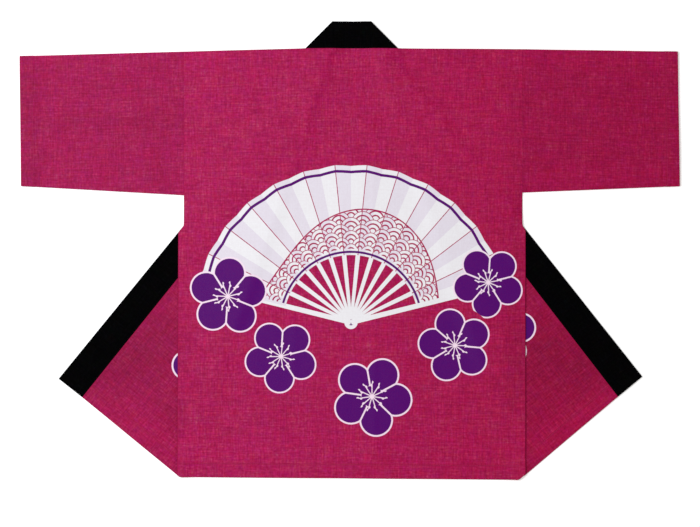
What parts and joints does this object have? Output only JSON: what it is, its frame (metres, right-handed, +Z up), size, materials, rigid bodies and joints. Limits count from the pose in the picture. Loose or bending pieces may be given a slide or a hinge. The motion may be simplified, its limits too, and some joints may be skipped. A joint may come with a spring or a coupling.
{
  "type": "happi coat",
  "caption": "Hip-length straight coat with wide sleeves and a band collar, laid flat with its back up and its fronts folded out.",
  "frame": {"origin": "middle of the bounding box's base, on the surface that the coat lies on", "axes": "+X along the sleeves towards the wearer's right sleeve, +Y towards the neck, +Z up from the surface, out of the coat's back"},
  "size_m": [1.253, 0.8711, 0.0076],
  "materials": {
    "cloth": "plain-woven magenta cotton, matt",
    "collar": "black cotton band, folded double, matt"
  },
  "bodies": {
    "root": {"back": "cloth", "front_left": "cloth", "front_right": "cloth", "sleeve_left": "cloth", "sleeve_right": "cloth", "collar": "collar"}
  },
  "joints": []
}
